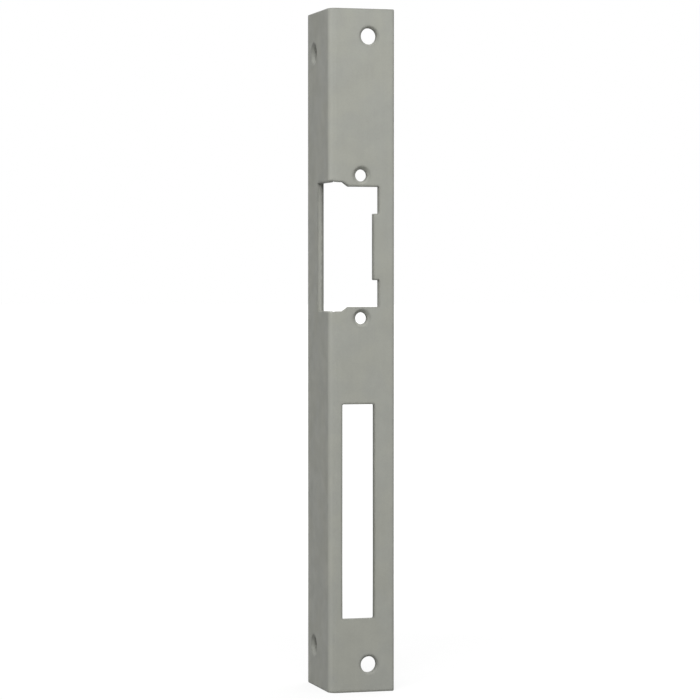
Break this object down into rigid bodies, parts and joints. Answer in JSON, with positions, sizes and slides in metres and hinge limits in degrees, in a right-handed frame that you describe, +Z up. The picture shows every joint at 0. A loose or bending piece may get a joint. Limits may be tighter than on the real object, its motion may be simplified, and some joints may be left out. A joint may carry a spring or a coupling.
{
  "type": "door strike plate",
  "caption": "Angled door strike plate, a folded steel sheet with a stepped latch opening that wraps round the fold, a long bolt slot and countersunk screw holes.",
  "frame": {"origin": "midway between the two frame screws, on the back of the face, where it lies on the door frame", "axes": "+Z up the length of the plate, -Y out of the face towards the door, +X across the face from the fold to the free edge"},
  "size_m": [0.0245, 0.03, 0.25],
  "materials": {
    "paint": "matt fine-textured grey powder coat"
  },
  "bodies": {
    "root": {"strike_plate": "paint"}
  },
  "joints": []
}
